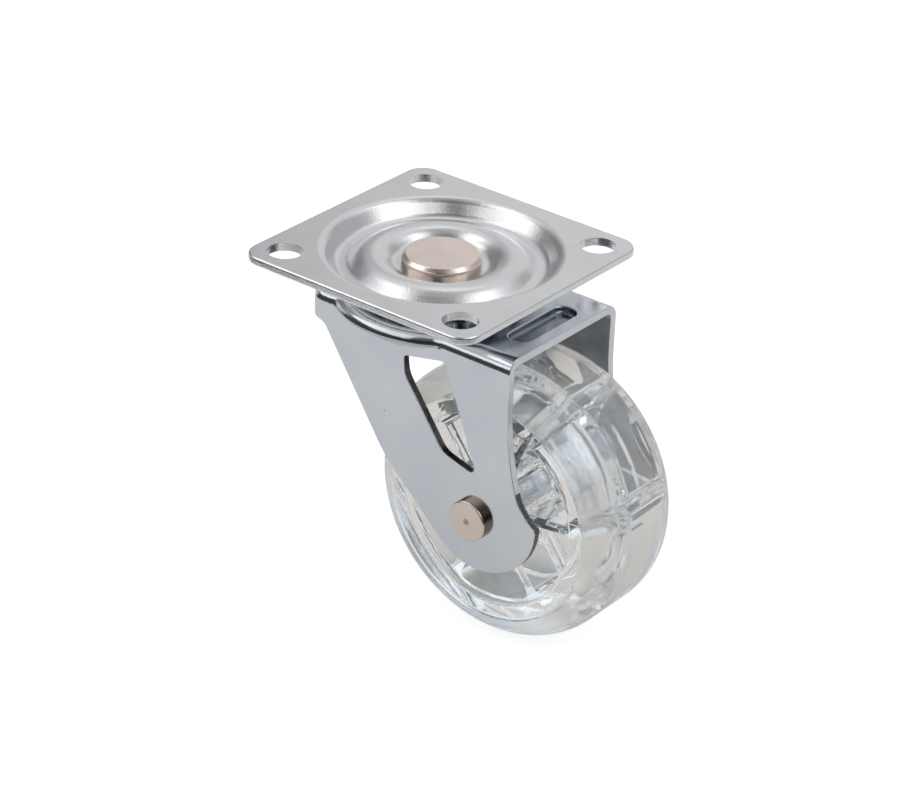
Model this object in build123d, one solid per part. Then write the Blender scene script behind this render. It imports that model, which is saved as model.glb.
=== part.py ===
from build123d import *
import math
import os

# Swivel caster with a plate, a pressed fork and a clear wheel, in millimetres.
# The origin is the middle of the plate's top face, on the king pin's axis.
# +Z is up, +X is the way the wheel trails and Y runs along the axle.

# Mounting plate: one pressed sheet with a dish and a raised ring over the balls
plate_side = 58.0
plate_sheet = 1.8
plate_corner_radius = 4.5
plate_edge_round = 0.45
bolt_edge_distance = 6.5
bolt_hole_radius = 3.7
dish_depth = 3.4
dish_wall_top_radius = 24.1
dish_wall_slope = 2.5
dish_floor_width = 2.4
ring_depth = 1.2
ring_crest_width = 4.0
ring_outer_slope = 3.0
ring_inner_slope = 2.3
dish_wall_top_round = 2.2
dish_rim_flat = 2.0
dish_wall_foot_round = 1.6
ring_foot_round = 1.5
ring_outer_round = 5.5
ring_inner_round = 4.8

# Swivel: two rings of balls, a lower race and the rivet that holds them together
upper_ball_diameter = 5.5
lower_ball_diameter = 4.0
ball_spacing = 0.2
ball_play = 0.02
crown_track_depth = 0.47
crown_track_radius = 2.95
race_sheet = 1.5
race_neck_radius = 8.4
race_neck_round = 1.9
race_track_round = 2.1
race_floor_width = 4.2
race_lip_width = 0.9
race_lip_round = 1.6
race_neck_gap = 0.1
race_hole_clearance = 0.4
king_shank_radius = 4.0
king_shank_fit = 0.05
king_head_radius = 8.25
king_head_bevel = 0.75
king_head_recess = 1.0
king_tail_radius = 5.8
king_tail_thickness = 2.2
king_tail_round = 0.8
king_edge_round = 0.3

# Wheel: a clear core with a clear tread moulded round it
wheel_radius = 30.0
wheel_width = 27.5
tread_shoulder_radius = 7.7
tread_thickness = 5.6
tread_fit = 0.06
core_rim_thickness = 3.6
core_rim_inset = 0.5
core_groove_width = 7.0
core_groove_depth = 1.9
core_key_count = 6
core_key_width = 5.0
core_web_thickness = 2.6
core_spoke_count = 6
core_spoke_thickness = 2.2
core_spoke_inset = 1.6
core_turn = 6.5
core_hub_radius = 8.2
core_pocket_ledge = 0.7
core_pocket_round = 1.4
core_floor_round = 0.9
core_edge_round = 0.6

# Axle: a rivet through both legs, with a sleeve that the wheel turns on
axle_shank_radius = 3.0
axle_shank_fit = 0.05
axle_sleeve_wall = 1.5
axle_running_fit = 0.05
axle_head_radius = 4.45
axle_head_thickness = 1.75
axle_head_round = 0.35
axle_dimple_radius = 0.7
axle_dimple_depth = 0.25
hub_side_play = 0.35

# Fork: one pressed sheet, with a flat crown, a round head and two legs
fork_sheet = 1.8
fork_bend_radius = 3.0
fork_front_corner_radius = 4.0
fork_front = 20.6
wheel_side_gap = 2.17
wheel_top_gap = 6.36
axle_trail = 23.7
tail_past_axle = 7.65
skirt_height = 7.2
head_radius = 22.0
head_neck_radius = 5.0
rim_land = 0.01
head_flare_angle = 35.0
head_foot_radius = 15.0
tail_dent_length = 18.6
tail_dent_width = 5.0
tail_dent_margin = 2.9
tail_dent_round = 2.2
tail_dent_depth = 1.5
tail_dent_floor_round = 0.8
tail_dent_mouth_round = 0.5
foot_radius = 14.3
foot_centre_trail = 1.5
foot_centre_rise = 3.1
front_edge_top = 16.2
front_edge_round = 3.0
knee_ahead = 23.3
knee_rise = 6.5
knee_round = 20.0
flare_top_drop = 10.0
flare_middle_past = 10.5
flare_middle_rise = 9.5
toe_round = 1.0

# Leg window: a rounded triangle between the crown and the axle
window_front_top = (4.9, 7.7)
window_front_side = (5.4, 11.9)
window_rear_top = (15.3, 5.5)
window_low_front = (-8.1, 12.3)
window_low_rear = (0.9, 9.8)
window_rounds = [0.9, 6.0, 5.0, 1.2, 1.4]

# Heights that follow from the sheets and the balls
ring_under = -(ring_depth + plate_sheet)
dish_under = -(dish_depth + plate_sheet)
upper_ball_radius = upper_ball_diameter / 2
lower_ball_radius = lower_ball_diameter / 2
upper_ball_level = ring_under - ball_play - upper_ball_radius
crown_top = upper_ball_level - upper_ball_radius - ball_play + crown_track_depth
crown_under = crown_top - fork_sheet
lower_ball_level = crown_under - ball_play - lower_ball_radius
race_floor_level = lower_ball_level - lower_ball_radius - ball_play
axle_level = crown_under - wheel_top_gap - wheel_radius

# Radii and widths that follow from the pieces that they fit
bolt_pitch = plate_side - 2 * bolt_edge_distance
dish_floor_outer_radius = dish_wall_top_radius - dish_wall_slope
ring_foot_outer_radius = dish_floor_outer_radius - dish_floor_width
ring_crest_outer_radius = ring_foot_outer_radius - ring_outer_slope
ring_crest_inner_radius = ring_crest_outer_radius - ring_crest_width
ring_foot_inner_radius = ring_crest_inner_radius - ring_inner_slope
upper_ball_ring_radius = (ring_crest_outer_radius + ring_crest_inner_radius) / 2
lower_ball_ring_radius = race_neck_radius + race_neck_gap + lower_ball_radius
crown_hole_radius = race_neck_radius + race_hole_clearance
king_hole_radius = king_shank_radius + king_shank_fit
leg_inner = wheel_width / 2 + wheel_side_gap
leg_outer = leg_inner + fork_sheet
fork_tail = axle_trail + tail_past_axle
axle_hole_radius = axle_shank_radius + axle_shank_fit
axle_sleeve_radius = axle_hole_radius + axle_sleeve_wall
core_bore_radius = axle_sleeve_radius + axle_running_fit
core_rim_radius = wheel_radius - tread_thickness
core_bed_radius = core_rim_radius - core_rim_thickness
axle_line = Plane(origin=(axle_trail, 0, axle_level), x_dir=(1, 0, 0), z_dir=(0, -1, 0))


def turned(corners, rounds):
    """Turns a closed section, drawn as (radius, height), about the king pin's axis."""
    section = FilletPolyline(corners, radius=rounds, close=True)
    return revolve(Plane.XZ * make_face(section), Axis.Z)


def pressed_ring(points, rounds, sheet):
    """Turned sheet: its upper face runs outwards through the points and its lower face lies parallel."""
    upper = [Vector(*point) for point in points]
    runs = [(end - start).normalized() for start, end in zip(upper, upper[1:])]
    rights = [Vector(run.Y, -run.X) for run in runs]
    lower = [upper[0] + rights[0] * sheet]
    lower_rounds = []
    for index, corner in enumerate(upper[1:-1]):
        before, after = rights[index], rights[index + 1]
        lower.append(corner + (before + after) * (sheet / (1 + before.dot(after))))
        turns_left = runs[index].cross(runs[index + 1]).Z > 0
        lower_rounds.append(rounds[index] + (sheet if turns_left else -sheet))
    lower.append(upper[-1] + rights[-1] * sheet)
    return turned(upper + lower[::-1], [0, *rounds, 0, 0, *lower_rounds[::-1], 0])


def mounting_plate():
    """Square sheet with rounded corners and rims, four bolt holes and the turned dish in its middle."""
    dish_points = [
        (king_hole_radius, -dish_depth),
        (ring_foot_inner_radius, -dish_depth),
        (ring_crest_inner_radius, -ring_depth),
        (ring_crest_outer_radius, -ring_depth),
        (ring_foot_outer_radius, -dish_depth),
        (dish_floor_outer_radius, -dish_depth),
        (dish_wall_top_radius, 0),
        (dish_wall_top_radius + dish_rim_flat, 0),
    ]
    dish_rounds = [
        ring_foot_round,
        ring_inner_round,
        ring_outer_round,
        ring_foot_round,
        dish_wall_foot_round,
        dish_wall_top_round,
    ]
    slab = extrude(RectangleRounded(plate_side, plate_side, plate_corner_radius), -plate_sheet)
    rims = slab.faces().sort_by(Axis.Z)[-1].edges() + slab.faces().sort_by(Axis.Z)[0].edges()
    slab = fillet(rims, plate_edge_round)
    cuts = Circle(dish_points[-1][0]) + GridLocations(bolt_pitch, bolt_pitch, 2, 2) * Circle(bolt_hole_radius)
    return slab - extrude(cuts, -plate_sheet) + pressed_ring(dish_points, dish_rounds, plate_sheet)


def king_rivet():
    head_top = -king_head_recess
    tail_top = dish_under - race_sheet
    tail_under = tail_top - king_tail_thickness
    return turned(
        [
            (0, head_top),
            (king_head_radius - king_head_bevel, head_top),
            (king_head_radius, head_top - king_head_bevel),
            (king_head_radius, -dish_depth),
            (king_shank_radius, -dish_depth),
            (king_shank_radius, tail_top),
            (king_tail_radius, tail_top),
            (king_tail_radius, tail_under),
            (0, tail_under),
        ],
        [0, king_edge_round, king_edge_round, 0, 0, 0, 0, king_tail_round, 0],
    )


def lower_race_cup():
    floor_inner = race_neck_radius
    floor_outer = floor_inner + race_floor_width
    return pressed_ring(
        [
            (king_hole_radius, dish_under),
            (floor_inner, dish_under),
            (floor_inner, race_floor_level),
            (floor_outer, race_floor_level),
            (floor_outer + race_lip_width, race_floor_level + race_lip_width),
        ],
        [race_neck_round, race_track_round, race_lip_round],
        race_sheet,
    )


def ball_ring(name, diameter, ring_radius, level):
    """Full ring of loose balls, as a dictionary of one sphere for each name."""
    count = int(2 * math.pi * ring_radius / (diameter + ball_spacing))
    places = PolarLocations(ring_radius, count).locations
    return {
        f"{name}_{number + 1:02d}": Pos(Z=level) * place * Sphere(diameter / 2)
        for number, place in enumerate(places)
    }


def fork_plan(skin):
    """Plan of the fork, set in from the outer face by skin: a straight channel that swells into a round head."""
    rear = axle_trail + 2 * foot_radius
    length = fork_front - skin + rear
    channel = Pos(rear - length / 2, 0) * Rectangle(length, 2 * (leg_outer - skin))
    channel = fillet(channel.vertices().group_by(Axis.X)[0], fork_front_corner_radius - skin)
    neck_radius = head_neck_radius + skin
    plan = offset(channel + Circle(head_radius - skin), amount=neck_radius)
    return channel, offset(plan, amount=-neck_radius)


def fork_block(skin):
    """Crown, round head and legs as one filled block, set in from the outer face by skin."""
    channel, plan = fork_plan(skin)
    top = crown_top - skin
    rim_round = fork_bend_radius - skin
    crown = extrude(Pos(Z=top) * plan, -rim_round)
    crown_rim = crown.faces().sort_by(Axis.Z)[-1].edges().sort_by(Axis.X)[:-1]
    crown = fillet(crown_rim, rim_round - rim_land)
    legs = extrude(Pos(Z=top - rim_round) * channel, axle_level - foot_radius - top)
    slope = math.tan(math.radians(head_flare_angle))
    flare_depth = (head_radius - head_foot_radius) * slope
    hung = (Align.CENTER, Align.CENTER, Align.MAX)
    flare = Cone(head_foot_radius - skin, head_radius - skin, flare_depth, align=hung)
    return crown + legs + Pos(Z=top - rim_round) * flare


def tangent_point(start, centre, radius):
    """Point where a line from start touches the lower side of a circle."""
    reach = Vector(centre) - Vector(start)
    turn = math.degrees(math.asin(radius / reach.length))
    along = math.sqrt(reach.length**2 - radius**2)
    return Vector(start) + reach.normalized().rotate(Axis.Z, -turn) * along


def side_profile():
    """Side view of the fork, as (X, Z): front skirt, sloping front edge, round foot and flared rear edge."""
    above = crown_top + fork_sheet
    ahead = -head_radius - fork_sheet
    skirt_level = crown_top - skirt_height
    slope_top = (-front_edge_top, skirt_level)
    knee = (axle_trail - knee_ahead, axle_level + knee_rise)
    foot_centre = (axle_trail + foot_centre_trail, axle_level + foot_centre_rise)
    foot_front = tangent_point(knee, foot_centre, foot_radius)
    foot_bottom = (foot_centre[0], foot_centre[1] - foot_radius)
    foot_rear = (foot_centre[0] + foot_radius, foot_centre[1])
    flare_top = (fork_tail, crown_top - flare_top_drop)
    flare_middle = (axle_trail + flare_middle_past, axle_level + flare_middle_rise)
    front = [foot_front, knee, slope_top, (ahead, skirt_level), (ahead, above)]
    edges = Polyline(*front, (fork_tail, above), flare_top)
    edges += TangentArc(flare_top, flare_middle, tangent=(0, -1))
    edges += TangentArc(flare_middle, foot_rear, tangent=edges.edges()[-1] % 1)
    edges += ThreePointArc(foot_rear, foot_bottom, foot_front)
    face = make_face(edges)
    for point, radius in ((slope_top, front_edge_round), (knee, knee_round), (foot_rear, toe_round)):
        face = fillet(face.vertices().sort_by_distance(point)[0], radius)
    return face


def window_profile():
    """Rounded triangle of the leg windows, as (X, Z), hung from the crown and set out from the axle."""
    axle_x, axle_z = axle_trail, axle_level
    corners = [(x, crown_top - drop) for x, drop in (window_front_top, window_front_side)]
    corners += [(axle_x + past, axle_z + rise) for past, rise in (window_low_front, window_low_rear)]
    corners.append((window_rear_top[0], crown_top - window_rear_top[1]))
    return make_face(FilletPolyline(corners, radius=window_rounds, close=True))


def tail_dent(skin):
    """Dent pressed into the crown's tail, as a block: skin 0 is its hollow, and the sheet its under face."""
    width = tail_dent_width + 2 * skin
    length = tail_dent_length + 2 * skin
    outline = RectangleRounded(width, length, tail_dent_round + skin)
    block = extrude(outline, -tail_dent_depth - skin)
    block = fillet(block.faces().sort_by(Axis.Z)[0].edges(), tail_dent_floor_round + skin)
    middle = fork_tail - tail_dent_margin - tail_dent_width / 2
    return Pos(middle, 0, crown_top) * block


def fork():
    """Pressed sheet: channel and round head, hollowed by the sheet, trimmed to the side view and pierced."""
    blank = fork_block(0) - fork_block(fork_sheet)
    blank = blank & extrude(Plane.XZ * side_profile(), head_radius + fork_sheet, both=True)
    blank -= extrude(Plane.XZ * window_profile(), head_radius, both=True)
    blank -= extrude(axle_line * Circle(axle_hole_radius), head_radius, both=True)
    blank = blank + tail_dent(fork_sheet) - tail_dent(0)
    crown = blank.faces().filter_by(Plane.XY).group_by(Axis.Z)[-1].sort_by(SortBy.AREA)[-1]
    blank = fillet(crown.inner_wires().edges(), tail_dent_mouth_round)
    blank -= Pos(Z=crown_top - 2 * fork_sheet) * extrude(Circle(crown_hole_radius), 3 * fork_sheet)
    track_level = crown_top - crown_track_depth + crown_track_radius
    return blank - Pos(Z=track_level) * Torus(upper_ball_ring_radius, crown_track_radius)


def axle_rivet():
    """Rivet with two flat heads on the outer faces of the legs and a punch mark in each."""
    shank = extrude(axle_line * Circle(axle_shank_radius), leg_outer, both=True)
    head = Cylinder(axle_head_radius, axle_head_thickness, align=(Align.CENTER, Align.CENTER, Align.MIN))
    head = fillet(head.edges().sort_by(Axis.Z)[-1], axle_head_round)
    mark = Cone(0, axle_dimple_radius, axle_dimple_depth, align=(Align.CENTER, Align.CENTER, Align.MAX))
    head -= Pos(Z=axle_head_thickness) * mark
    near = axle_line * Pos(Z=leg_outer) * head
    return shank + near + mirror(near, Plane.XZ)


def axle_sleeve():
    ring = Circle(axle_sleeve_radius) - Circle(axle_hole_radius)
    return extrude(axle_line * ring, leg_inner, both=True)


def turned_on_axle(corners, rounds):
    """Turns a closed section, drawn as (radius, distance along the axle), about the axle."""
    line = FilletPolyline(corners, radius=rounds, close=True) if rounds else Polyline(corners, close=True)
    section = make_face(line)
    across = Plane(origin=(axle_trail, 0, axle_level), x_dir=(0, 0, 1), z_dir=(1, 0, 0))
    return revolve(across * section, Axis(origin=(axle_trail, 0, axle_level), direction=(0, 1, 0)))


def rim_keys(grow):
    """Blocks that cross the groove of the rim and keep the tread from creeping round."""
    outer = core_rim_radius + grow
    floor = outer - core_groove_depth
    key = Rectangle(2 * core_groove_depth, core_key_width + 2 * grow)
    keys = (Sketch() + PolarLocations(floor, core_key_count, core_turn) * key) & Circle(outer)
    return extrude(axle_line * keys, core_groove_width / 2 - grow / 2, both=True)


def core_pockets():
    """Rounded wedge pockets between the spokes, sunk from both sides down to the middle web."""
    inner = core_hub_radius + core_pocket_ledge
    outer = core_bed_radius - core_pocket_ledge
    spoke = Pos(X=outer / 2) * Rectangle(outer, core_spoke_thickness)
    star = Sketch() + PolarLocations(0, core_spoke_count, core_turn) * spoke
    wedges = Circle(outer) - Circle(inner) - star
    wedges = fillet(wedges.vertices(), core_pocket_round)
    depth = (wheel_width - core_web_thickness) / 2
    pockets = extrude(wedges, depth)
    floors = pockets.faces().group_by(Axis.Z)[0].edges()
    near = axle_line * Pos(Z=core_web_thickness / 2) * fillet(floors, core_floor_round)
    return near + mirror(near, Plane.XZ)


def wheel_core():
    """Hub, thin middle web, spokes between the pockets and a grooved rim, moulded as one piece."""
    hub_half = leg_inner - hub_side_play
    side_half = wheel_width / 2 - core_rim_inset
    spoke_half = side_half - core_spoke_inset
    groove_half = core_groove_width / 2
    near = [
        (core_bore_radius, hub_half),
        (core_hub_radius, hub_half),
        (core_hub_radius, spoke_half),
        (core_bed_radius, spoke_half),
        (core_bed_radius, side_half),
        (core_rim_radius, side_half),
        (core_rim_radius, groove_half),
        (core_rim_radius - core_groove_depth, groove_half),
    ]
    near_rounds = [0, core_edge_round, 0, 0, core_edge_round, core_edge_round, 0, 0]
    far = [(radius, -along) for radius, along in near[::-1]]
    body = turned_on_axle(near + far, near_rounds + near_rounds[::-1])
    return body + rim_keys(0) - core_pockets()


def tread():
    """Smooth round-shouldered ring that fills the groove of the rim."""
    half = wheel_width / 2
    side_radius = wheel_radius - tread_shoulder_radius
    disc = turned_on_axle(
        [(side_radius / 2, -half), (wheel_radius, -half), (wheel_radius, half), (side_radius / 2, half)],
        [0, tread_shoulder_radius, tread_shoulder_radius, 0],
    )
    outer = core_rim_radius + tread_fit
    floor = outer - core_groove_depth
    groove_half = core_groove_width / 2 - tread_fit
    near = [(side_radius / 3, wheel_width), (outer, wheel_width), (outer, groove_half), (floor, groove_half)]
    far = [(radius, -along) for radius, along in near[::-1]]
    bed = turned_on_axle(near + far, 0)
    return disc - bed - rim_keys(tread_fit)


def build():
    parts = {
        "mounting_plate": mounting_plate(),
        "king_rivet": king_rivet(),
        "lower_race_cup": lower_race_cup(),
        "fork": fork(),
        "axle_rivet": axle_rivet(),
        "axle_sleeve": axle_sleeve(),
        "wheel_core": wheel_core(),
        "tread": tread(),
    }
    parts |= ball_ring("upper_ball", upper_ball_diameter, upper_ball_ring_radius, upper_ball_level)
    parts |= ball_ring("lower_ball", lower_ball_diameter, lower_ball_ring_radius, lower_ball_level)
    return parts


if __name__ == "__main__":
    os.makedirs("parts", exist_ok=True)
    for name, solid in build().items():
        export_step(solid, f"parts/{name}.step")
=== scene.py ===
import math

import bmesh
import bpy
from mathutils import Matrix, Vector
from mathutils.bvhtree import BVHTree


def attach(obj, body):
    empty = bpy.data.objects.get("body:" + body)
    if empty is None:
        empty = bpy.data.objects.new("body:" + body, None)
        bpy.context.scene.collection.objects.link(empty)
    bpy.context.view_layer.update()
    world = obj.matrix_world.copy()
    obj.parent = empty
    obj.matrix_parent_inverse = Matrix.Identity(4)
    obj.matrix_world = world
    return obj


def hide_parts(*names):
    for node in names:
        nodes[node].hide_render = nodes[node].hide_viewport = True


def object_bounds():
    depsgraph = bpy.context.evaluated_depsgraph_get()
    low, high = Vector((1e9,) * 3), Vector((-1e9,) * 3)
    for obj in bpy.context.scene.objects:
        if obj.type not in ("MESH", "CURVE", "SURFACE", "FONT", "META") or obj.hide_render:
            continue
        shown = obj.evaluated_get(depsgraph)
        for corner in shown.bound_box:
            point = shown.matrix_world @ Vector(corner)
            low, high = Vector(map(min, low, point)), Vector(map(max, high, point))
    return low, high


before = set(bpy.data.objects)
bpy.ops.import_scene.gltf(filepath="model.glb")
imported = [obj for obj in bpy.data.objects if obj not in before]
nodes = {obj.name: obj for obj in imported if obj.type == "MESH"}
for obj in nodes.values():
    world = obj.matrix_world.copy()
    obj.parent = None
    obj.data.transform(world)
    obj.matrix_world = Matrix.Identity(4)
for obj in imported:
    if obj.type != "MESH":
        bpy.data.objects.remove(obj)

cad_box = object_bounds()

# Camera: a long lens a good half metre off, to the right of the caster and well above it, as the
# photograph was taken. The picture is 911 by 800 and hangs over to one side by a small roll.
MM = 0.001
camera_turn, camera_height = math.radians(37.278), math.radians(28.649)
camera_roll = math.radians(2.431)
camera_distance = 672.728 * MM
aimed_at = Vector((0, 0, -29.01 * MM))
moved_right, moved_down = 3.718 * MM, 5.228 * MM
towards = Vector((
    math.sin(camera_turn) * math.cos(camera_height),
    -math.cos(camera_turn) * math.cos(camera_height),
    math.sin(camera_height),
))
level_right = Vector((math.cos(camera_turn), math.sin(camera_turn), 0))
level_up = towards.cross(level_right)
right = math.cos(camera_roll) * level_right + math.sin(camera_roll) * level_up
up = -math.sin(camera_roll) * level_right + math.cos(camera_roll) * level_up
eye = aimed_at + towards * camera_distance + right * moved_right - up * moved_down
camera_data = bpy.data.cameras.new("camera")
camera_data.sensor_width = 36
camera_data.lens = 128.95
camera = bpy.data.objects.new("camera", camera_data)
camera.matrix_world = Matrix.Translation(eye) @ Matrix((right, up, towards)).transposed().to_4x4()
scene = bpy.context.scene
scene.collection.objects.link(camera)
scene.camera = camera
scene.view_settings.view_transform = "Standard"

# Studio: a white sheet under and round the caster, large soft lamps and a grey room that is dark
# behind the camera. To the eye the sheet and the room are white, and the sheet keeps the soft
# shadow of the wheel. Through the wheel, the sheet looks a little warm and the room a little blue.


def blank_material(name):
    """New node material, with its tree and its shader."""
    material = bpy.data.materials.new(name)
    material.use_nodes = True
    return material, material.node_tree, material.node_tree.nodes["Principled BSDF"]


def spread(tree, value, low, high, from_low=0.3, from_high=0.7):
    """Turns a value between two limits into one from low to high, with soft ends."""
    limits = tree.nodes.new("ShaderNodeMapRange")
    limits.interpolation_type = "SMOOTHSTEP"
    limits.inputs["From Min"].default_value = from_low
    limits.inputs["From Max"].default_value = from_high
    limits.inputs["To Min"].default_value = low
    limits.inputs["To Max"].default_value = high
    tree.links.new(value, limits.inputs["Value"])
    return limits.outputs["Result"]


def mixed(tree, share, first, second, kind="RGBA"):
    """Goes from first to second as the share goes from 0 to 1. Each is fixed or a node's."""
    mix = tree.nodes.new("ShaderNodeMix")
    mix.data_type = kind
    tree.links.new(share, mix.inputs["Factor"])
    for end, value in (("A", first), ("B", second)):
        if isinstance(value, bpy.types.NodeSocket):
            tree.links.new(value, mix.inputs[end])
        else:
            mix.inputs[end].default_value = (*value, 1) if kind == "RGBA" else value
    return mix.outputs["Result"]


def combined(tree, operation, first, second):
    """Sum, product or larger one of two values."""
    node = tree.nodes.new("ShaderNodeMath")
    node.operation = operation
    tree.links.new(first, node.inputs[0])
    tree.links.new(second, node.inputs[1])
    return node.outputs[0]


def leaning(tree, vector, direction):
    """How far a place or a heading lies in one direction."""
    lean = tree.nodes.new("ShaderNodeVectorMath")
    lean.operation = "DOT_PRODUCT"
    lean.inputs[1].default_value = direction
    tree.links.new(vector, lean.inputs[0])
    return lean.outputs["Value"]


def seen_by(tree, ray):
    """Tells whether one kind of ray sees what is shaded."""
    return tree.nodes.new("ShaderNodeLightPath").outputs[ray]


def shown_to_eye(tree, plain, to_eye, output):
    """Shows one shader to the camera and the other to all other rays."""
    choose = tree.nodes.new("ShaderNodeMixShader")
    tree.links.new(seen_by(tree, "Is Camera Ray"), choose.inputs[0])
    tree.links.new(plain, choose.inputs[1])
    tree.links.new(to_eye, choose.inputs[2])
    tree.links.new(choose.outputs[0], output.inputs["Surface"])


sheet_half_width = 2.5
sheet_level = cad_box[0][2] - 0.05 * MM
bm = bmesh.new()
bmesh.ops.create_grid(bm, x_segments=1, y_segments=1, size=sheet_half_width)
bmesh.ops.translate(bm, verts=bm.verts, vec=(0, 0, sheet_level))
floor_mesh = bpy.data.meshes.new("floor")
bm.to_mesh(floor_mesh)
bm.free()
floor = bpy.data.objects.new("floor", floor_mesh)
scene.collection.objects.link(floor)

# The sheet is lit under the caster and behind it, and dark farther in front, where metal mirrors it.
to_back = (-0.375, 0.927, 0)
lit_within, dark_beyond = 0.1955, 0.205
shaded_sheet, lit_sheet = (0.03, 0.03, 0.035), (0.88, 0.88, 0.88)
sheet_through_wheel = (0.95, 0.90, 0.84)
white_sheet, tree, shader = blank_material("white_sheet")
place = tree.nodes.new("ShaderNodeTexCoord").outputs["Object"]
reach = tree.nodes.new("ShaderNodeVectorMath")
reach.operation = "LENGTH"
tree.links.new(place, reach.inputs[0])
under_caster = spread(tree, reach.outputs["Value"], 1, 0, lit_within, dark_beyond)
behind_caster = spread(tree, leaning(tree, place, to_back), 0, 1, from_low=0.02, from_high=0.10)
lit_part = combined(tree, "MAXIMUM", under_caster, behind_caster)
sheet_colour = mixed(tree, lit_part, shaded_sheet, lit_sheet)
to_glass = seen_by(tree, "Is Transmission Ray")
tree.links.new(
    mixed(tree, to_glass, sheet_colour, sheet_through_wheel), shader.inputs["Base Color"]
)
shader.inputs["Roughness"].default_value = 0.9
shader.inputs["Emission Color"].default_value = (1, 1, 1, 1)
faint_glow = spread(tree, lit_part, 0, 0.07, from_low=0, from_high=1)
tree.links.new(
    combined(tree, "MULTIPLY", lit_part, faint_glow), shader.inputs["Emission Strength"]
)
paper = tree.nodes.new("ShaderNodeBsdfDiffuse")
paper.inputs["Color"].default_value = (0.50, 0.50, 0.50, 1)
paper_glow = tree.nodes.new("ShaderNodeEmission")
paper_glow.inputs["Strength"].default_value = 0.80
glowing_paper = tree.nodes.new("ShaderNodeAddShader")
tree.links.new(paper.outputs[0], glowing_paper.inputs[0])
tree.links.new(paper_glow.outputs[0], glowing_paper.inputs[1])
shown_to_eye(tree, shader.outputs[0], glowing_paper.outputs[0], tree.nodes["Material Output"])
floor.data.materials.append(white_sheet)

# The room is dark at the horizon and grey above. It is darker behind the camera and at a doorway
# to the left, which the bright metal mirrors as dark bands.
to_camera, to_doorway = (0.28, -0.77, 0.57), (-0.945, 0.20, 0.26)
room_cast, room_cast_through_wheel = (0.97, 0.98, 1.0), (0.84, 0.93, 1.0)
light_through_wheel = 0.88
world = bpy.data.worlds.new("studio")
world.use_nodes = True
scene.world = world
tree = world.node_tree
room = tree.nodes["Background"]
heading = tree.nodes.new("ShaderNodeTexCoord").outputs["Generated"]
heading_parts = tree.nodes.new("ShaderNodeSeparateXYZ")
tree.links.new(heading, heading_parts.inputs[0])
rise = heading_parts.outputs["Z"]
set_back = spread(tree, leaning(tree, heading, to_back), 0, 1, from_low=-0.2, from_high=0.2)
front_wall = spread(tree, rise, 0.04, 0.42, from_low=0.05, from_high=0.35)
back_wall = spread(tree, rise, 0.10, 0.42, from_low=-0.30, from_high=-0.05)
upper_wall = spread(tree, rise, 0, 0.30, from_low=0.50, from_high=0.72)
ceiling = spread(tree, rise, 1, 0.55, from_low=0.80, from_high=0.98)
walls = combined(tree, "ADD", mixed(tree, set_back, front_wall, back_wall, "FLOAT"), upper_wall)
facing_camera, facing_doorway = (leaning(tree, heading, way) for way in (to_camera, to_doorway))
shade = spread(tree, facing_camera, 1, 0.25, from_low=0.55, from_high=0.92)
doorway = spread(tree, facing_doorway, 1, 0.55, from_low=0.86, from_high=0.97)
room_light = combined(
    tree, "MULTIPLY",
    combined(tree, "MULTIPLY", walls, ceiling),
    combined(tree, "MULTIPLY", shade, doorway),
)
to_glass = seen_by(tree, "Is Transmission Ray")
tree.links.new(
    mixed(tree, to_glass, room_light, light_through_wheel, "FLOAT"), room.inputs["Strength"]
)
tree.links.new(mixed(tree, to_glass, room_cast, room_cast_through_wheel), room.inputs["Color"])
white = tree.nodes.new("ShaderNodeBackground")
white.inputs["Color"].default_value = (1, 1, 1, 1)
shown_to_eye(tree, room.outputs[0], white.outputs[0], tree.nodes["World Output"])


def soft_lamp(name, bearing, height, width, depth, brightness):
    """Soft lamp turned to the caster, at a bearing from +X and a height in degrees."""
    lamp = bpy.data.lights.new(name, "AREA")
    lamp.shape = "RECTANGLE"
    lamp.size = width
    lamp.size_y = depth
    lamp.energy = brightness * math.pi * width * depth
    holder = bpy.data.objects.new(name, lamp)
    bearing, height = math.radians(bearing), math.radians(height)
    out = Vector((
        math.cos(bearing) * math.cos(height),
        math.sin(bearing) * math.cos(height),
        math.sin(height),
    ))
    caster_middle, lamp_distance = Vector((0.01, 0, -0.035)), 1.25
    facing = out.to_track_quat("Z", "Y").to_matrix().to_4x4()
    holder.matrix_world = Matrix.Translation(caster_middle + out * lamp_distance) @ facing
    scene.collection.objects.link(holder)


soft_lamp("left_lamp", bearing=239, height=33, width=1.75, depth=0.85, brightness=0.80)
soft_lamp("right_lamp", bearing=350, height=42, width=1.45, depth=0.72, brightness=0.75)
soft_lamp("back_lamp", bearing=40, height=64, width=0.6, depth=0.45, brightness=0.75)
soft_lamp("top_lamp", bearing=205, height=62, width=0.9, depth=0.4, brightness=0.75)
soft_lamp("back_card", bearing=112, height=15, width=0.8, depth=1.0, brightness=0.22)
soft_lamp("high_card", bearing=120, height=62, width=0.35, depth=0.22, brightness=0.45)

# Mounting plate: a square of steel sheet, cold pressed with a dish and a raised ring that the balls
# run under. It is zinc plated after pressing, so its sheared edges and bolt holes are as bright as
# its faces, and the pressed sheet keeps a fine grain.


def noise(tree, scale, detail, roughness=0.5):
    """Noise on object coordinates, scale in cycles a metre."""
    pattern = tree.nodes.new("ShaderNodeTexNoise")
    pattern.inputs["Scale"].default_value = scale
    pattern.inputs["Detail"].default_value = detail
    pattern.inputs["Roughness"].default_value = roughness
    place = tree.nodes.new("ShaderNodeTexCoord")
    tree.links.new(place.outputs["Object"], pattern.inputs["Vector"])
    return pattern.outputs["Fac"]


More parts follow.
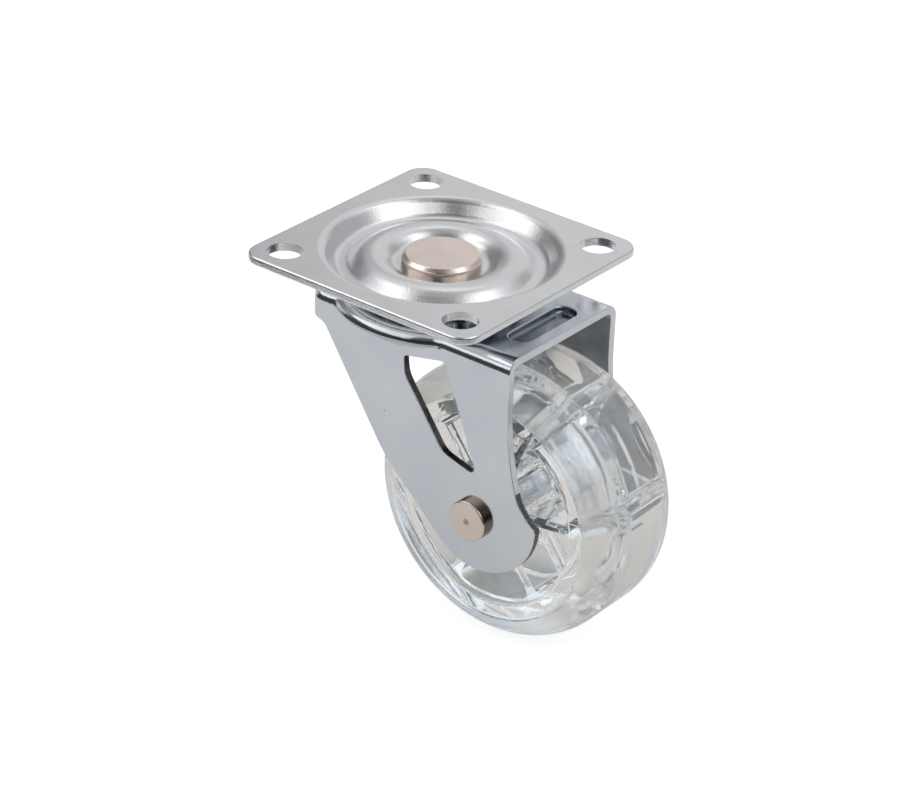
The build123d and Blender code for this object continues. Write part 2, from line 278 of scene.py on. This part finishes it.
def relief(tree, shader, heights, depth):
    """Fine relief on the shader from a height value."""
    bump = tree.nodes.new("ShaderNodeBump")
    bump.inputs["Strength"].default_value = 1.0
    bump.inputs["Distance"].default_value = depth
    tree.links.new(heights, bump.inputs["Height"])
    tree.links.new(bump.outputs["Normal"], shader.inputs["Normal"])


def plated(name, pale, dark, gloss, grain_scale, grain_depth):
    """Plated metal: two tints in soft patches, uneven gloss, a fine grain and a few dark pinholes.

    Gloss is the smallest and the largest roughness, and the grain's scale is in cycles a metre.
    """
    material, tree, shader = blank_material(name)
    shader.inputs["Metallic"].default_value = 1.0
    clouds = noise(tree, scale=90, detail=3)
    smears = noise(tree, scale=400, detail=4)
    grain = noise(tree, grain_scale, detail=4, roughness=0.6)
    pores = tree.nodes.new("ShaderNodeTexVoronoi")
    pores.inputs["Scale"].default_value = 110
    place = tree.nodes.new("ShaderNodeTexCoord")
    tree.links.new(place.outputs["Object"], pores.inputs["Vector"])
    pore_core, pore_rim = 0.010, 0.026
    clear_of_pores = spread(tree, pores.outputs["Distance"], 0, 1, pore_core, pore_rim)
    pinhole_grey = (0.16, 0.16, 0.17)
    clouded = mixed(tree, spread(tree, clouds, 0, 1), pale, dark)
    colour = mixed(tree, clear_of_pores, pinhole_grey, clouded)
    tree.links.new(colour, shader.inputs["Base Color"])
    tree.links.new(spread(tree, smears, *gloss), shader.inputs["Roughness"])
    relief(tree, shader, grain, grain_depth)
    return material


def finished(piece, *finishes):
    """Gives a piece its finishes, the first of them all over."""
    piece.data.materials.clear()
    for finish in finishes:
        piece.data.materials.append(finish)


plate_zinc = plated(
    "plate_zinc", pale=(0.90, 0.90, 0.91), dark=(0.85, 0.855, 0.865),
    gloss=(0.14, 0.22), grain_scale=2600, grain_depth=0.040 * MM,
)
finished(nodes["mounting_plate"], plate_zinc)

# Fork: one piece of steel sheet, drawn into a round head, bent into two legs and pierced, then zinc
# plated. The blanking leaves its sheared edges a little rounded, and the plating has a cool blue
# cast outside. The legs' sheared edges, all but the rear edge above the foot, are painted near black
# as a painted dark reflection and are a little rougher. The inside faces of the legs are painted
# darker as painted shade and are rougher, and the dent at the tail is painted darker as painted
# shade.


def eased_copy(node, body, ease, sharpest):
    """Copy of a CAD piece with its flat faces made whole and its sharp edges eased."""
    bm = bmesh.new()
    bm.from_mesh(node.data)
    bm.transform(node.matrix_world)
    same_place, flat = 0.0005 * MM, math.radians(0.2)
    bmesh.ops.remove_doubles(bm, verts=bm.verts, dist=same_place)
    bmesh.ops.dissolve_limit(bm, angle_limit=flat, verts=bm.verts, edges=bm.edges)
    sharp = [edge for edge in bm.edges if edge.calc_face_angle(0) > math.radians(sharpest)]
    bmesh.ops.bevel(
        bm, geom=sharp, offset=ease, offset_type="OFFSET", segments=2, profile=0.5,
        affect="EDGES", material=-1, clamp_overlap=False,
    )
    for face in bm.faces:
        face.smooth = True
    mesh = bpy.data.meshes.new(node.name + "_eased")
    bm.to_mesh(mesh)
    bm.free()
    piece = bpy.data.objects.new(node.name + "_eased", mesh)
    scene.collection.objects.link(piece)
    weighted = piece.modifiers.new("weighted", "WEIGHTED_NORMAL")
    weighted.keep_sharp = True
    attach(piece, body)
    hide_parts(node.name)
    return piece


fork_zinc = plated(
    "fork_zinc", pale=(0.735, 0.76, 0.795), dark=(0.69, 0.72, 0.765),
    gloss=(0.08, 0.14), grain_scale=2600, grain_depth=0.018 * MM,
)
# Near black zinc for the legs' sheared edges: a painted dark reflection, and a little rougher.
painted_dark_edge_zinc = plated(
    "painted_dark_edge_zinc", pale=(0.13, 0.125, 0.12), dark=(0.07, 0.065, 0.06),
    gloss=(0.16, 0.30), grain_scale=2400, grain_depth=0.004 * MM,
)
# Darker zinc for the inside faces of the legs: painted shade, and rougher.
painted_shade_inner_zinc = plated(
    "painted_shade_inner_zinc", pale=(0.50, 0.51, 0.53), dark=(0.36, 0.37, 0.39),
    gloss=(0.38, 0.50), grain_scale=1500, grain_depth=0.004 * MM,
)
# Darker zinc for the pressed dent at the tail: painted shade under the plate's edge.
painted_shade_dent_zinc = plated(
    "painted_shade_dent_zinc", pale=(0.42, 0.46, 0.50), dark=(0.28, 0.32, 0.36),
    gloss=(0.12, 0.22), grain_scale=1500, grain_depth=0.003 * MM,
)
leg_inner_side, leg_middle = 15.8 * MM, 16.4 * MM
leg_root, bend_foot, foot_top = -12 * MM, -14 * MM, -37 * MM
bright_rear_edge = 30.5 * MM
dent_front, dent_rear, dent_side = 20 * MM, 31.5 * MM, 9.4 * MM
dent_floor, dent_mouth = -9.7 * MM, -8.3 * MM
fork = eased_copy(nodes["fork"], "fork", ease=0.16 * MM, sharpest=40)
finished(fork, fork_zinc, painted_dark_edge_zinc, painted_shade_inner_zinc, painted_shade_dent_zinc)
painted_dark_edge, painted_shade_inside, painted_shade_dent = 1, 2, 3
for face in fork.data.polygons:
    x, y, z = face.center
    across = abs(face.normal.y)
    on_leg = abs(y) > leg_inner_side and z < bend_foot
    # The legs' sheared edges, except the rear edge above the foot, get the painted dark reflection.
    if across < 0.25 and on_leg and (x < bright_rear_edge or z < foot_top):
        face.material_index = painted_dark_edge
    # The inside faces of the legs get the painted shade.
    if across > 0.5 and abs(y) < leg_middle and z < leg_root:
        face.material_index = painted_shade_inside
    # Faces in the dent get the painted shade.
    if dent_front < x < dent_rear and abs(y) < dent_side and dent_floor < z < dent_mouth:
        face.material_index = painted_shade_dent

# Rivets: the king rivet through the swivel and the axle rivet through the legs are nickel plated
# steel. Both are headed over cold, and the axle's heads have a small matt punch mark.
rivet_nickel = plated(
    "rivet_nickel", pale=(0.98, 0.86, 0.78), dark=(0.92, 0.80, 0.72),
    gloss=(0.14, 0.24), grain_scale=1800, grain_depth=0.002 * MM,
)
# Darker nickel for the side of the king rivet's head: a painted dark reflection.
painted_dark_side_nickel = plated(
    "painted_dark_side_nickel", pale=(0.62, 0.52, 0.45), dark=(0.48, 0.39, 0.33),
    gloss=(0.08, 0.16), grain_scale=1800, grain_depth=0.010 * MM,
)
king = nodes["king_rivet"]
finished(king, rivet_nickel, painted_dark_side_nickel)
turned = 1
# The side of the head gets the painted dark reflection.
for face in king.data.polygons:
    if abs(face.normal.z) < 0.2:
        face.material_index = turned

axle_nickel = plated(
    "axle_nickel", pale=(0.82, 0.71, 0.64), dark=(0.77, 0.66, 0.59),
    gloss=(0.14, 0.24), grain_scale=1800, grain_depth=0.002 * MM,
)
# Near black nickel for the sides of the axle rivet's heads: painted shade and painted dark
# reflection.
painted_shade_rim_nickel = plated(
    "painted_shade_rim_nickel", pale=(0.30, 0.24, 0.20), dark=(0.16, 0.12, 0.10),
    gloss=(0.12, 0.24), grain_scale=1800, grain_depth=0.003 * MM,
)
punched_nickel = plated(
    "punched_nickel", pale=(0.60, 0.53, 0.48), dark=(0.54, 0.47, 0.42),
    gloss=(0.50, 0.60), grain_scale=1800, grain_depth=0.002 * MM,
)
punch_radius = 0.75 * MM
axle = nodes["axle_rivet"]
axle_middle = sum((Vector(corner) for corner in axle.bound_box), Vector()) / 8
finished(axle, axle_nickel, painted_shade_rim_nickel, punched_nickel)
painted_shade_rim, punched = 1, 2
# The sides of the heads get the painted shade, and the punch mark keeps its own matt nickel.
for face in axle.data.polygons:
    if (face.center - axle_middle).xz.length < punch_radius:
        face.material_index = punched
    elif abs(face.normal.y) < 0.2:
        face.material_index = painted_shade_rim

# Swivel races and balls: hardened steel balls run between the plate, the crown and a pressed cup.
# The cup is clamped under the plate by the king rivet, and the sleeve on the axle is a drawn tube.
race_steel = plated(
    "race_steel", pale=(0.55, 0.56, 0.57), dark=(0.46, 0.46, 0.47),
    gloss=(0.22, 0.34), grain_scale=1500, grain_depth=0.003 * MM,
)
ball_steel = plated(
    "ball_steel", pale=(0.78, 0.78, 0.79), dark=(0.74, 0.74, 0.75),
    gloss=(0.05, 0.09), grain_scale=900, grain_depth=0.0005 * MM,
)
for name, node in nodes.items():
    if "_ball_" in name:
        finished(node, ball_steel)
for name in ("lower_race_cup", "axle_sleeve"):
    finished(nodes[name], race_steel)

# Wheel core: a clear hard moulding with a hub, a thin middle web, rounded wedge pockets from both
# sides and a rim with a groove round it. The polished mould leaves its faces glossy and a little
# wavy. Light crosses many faces of the clear wheel, so it is followed further than usual.
scene.cycles.max_bounces = 32
scene.cycles.glossy_bounces = 24
scene.cycles.transmission_bounces = 32


def clear_moulding(name, tint, roughness, bend, wave_scale, wave_depth):
    """Clear plastic: bend is its refraction, and the waves are the moulding's flow."""
    material, tree, shader = blank_material(name)
    shader.inputs["Base Color"].default_value = (*tint, 1)
    shader.inputs["Transmission Weight"].default_value = 1
    shader.inputs["Roughness"].default_value = roughness
    shader.inputs["IOR"].default_value = bend
    relief(tree, shader, noise(tree, wave_scale, detail=2), wave_depth)
    return material


def faces_against(piece, neighbour):
    """Faces of one piece that lie against another."""
    bm = bmesh.new()
    bm.from_mesh(neighbour.data)
    surface = BVHTree.FromBMesh(bm)
    bm.free()
    touching = 0.1 * MM
    return [face for face in piece.data.polygons if surface.find_nearest(face.center, touching)[0]]


water_white = (0.985, 0.99, 0.995)
core_plastic = clear_moulding(
    "core_plastic", water_white, roughness=0.02, bend=1.53, wave_scale=140, wave_depth=0.10 * MM
)
bonded_rim = clear_moulding(
    "bonded_rim", water_white, roughness=0.02, bend=1.07, wave_scale=140, wave_depth=0.05 * MM
)
core, tread = nodes["wheel_core"], nodes["tread"]
finished(core, core_plastic, bonded_rim)
bonded = 1
for face in faces_against(core, tread):
    face.material_index = bonded

# Tread: a soft clear ring cast round the core. It bonds to the core, so its bore shows no surface
# of its own. The plastic turns between cream and a faint blue, is a little milky on the outside,
# and has matt sides from the mould.
cream, faint_blue = (0.998, 0.972, 0.925), (0.955, 0.978, 0.998)
polished, matt = 0.075, 0.18
round_shoulder, flat_side = 9 * MM, 12.5 * MM
clear_share = 0.70
tread_plastic = clear_moulding(
    "tread_plastic", cream, roughness=polished, bend=1.47, wave_scale=90, wave_depth=0.08 * MM
)
tree = tread_plastic.node_tree
shader = tree.nodes["Principled BSDF"]
place_parts = tree.nodes.new("ShaderNodeSeparateXYZ")
tree.links.new(tree.nodes.new("ShaderNodeTexCoord").outputs["Object"], place_parts.inputs[0])
off_middle = tree.nodes.new("ShaderNodeMath")
off_middle.operation = "ABSOLUTE"
tree.links.new(place_parts.outputs["Y"], off_middle.inputs[0])
matt_sides = spread(tree, off_middle.outputs[0], polished, matt, round_shoulder, flat_side)
tree.links.new(matt_sides, shader.inputs["Roughness"])
clouds = spread(tree, noise(tree, scale=55, detail=1), 0, 1, from_low=0.38, from_high=0.62)
tree.links.new(mixed(tree, clouds, faint_blue, cream), shader.inputs["Base Color"])
inside = tree.nodes.new("ShaderNodeNewGeometry").outputs["Backfacing"]
clear_part = spread(tree, inside, clear_share, 1, from_low=0, from_high=1)
tree.links.new(clear_part, shader.inputs["Transmission Weight"])
bonded_bore = clear_moulding(
    "bonded_bore", (1, 1, 1), roughness=0, bend=1.0, wave_scale=90, wave_depth=0
)
finished(tread, tread_plastic, bonded_bore)
for face in faces_against(tread, core):
    face.material_index = bonded
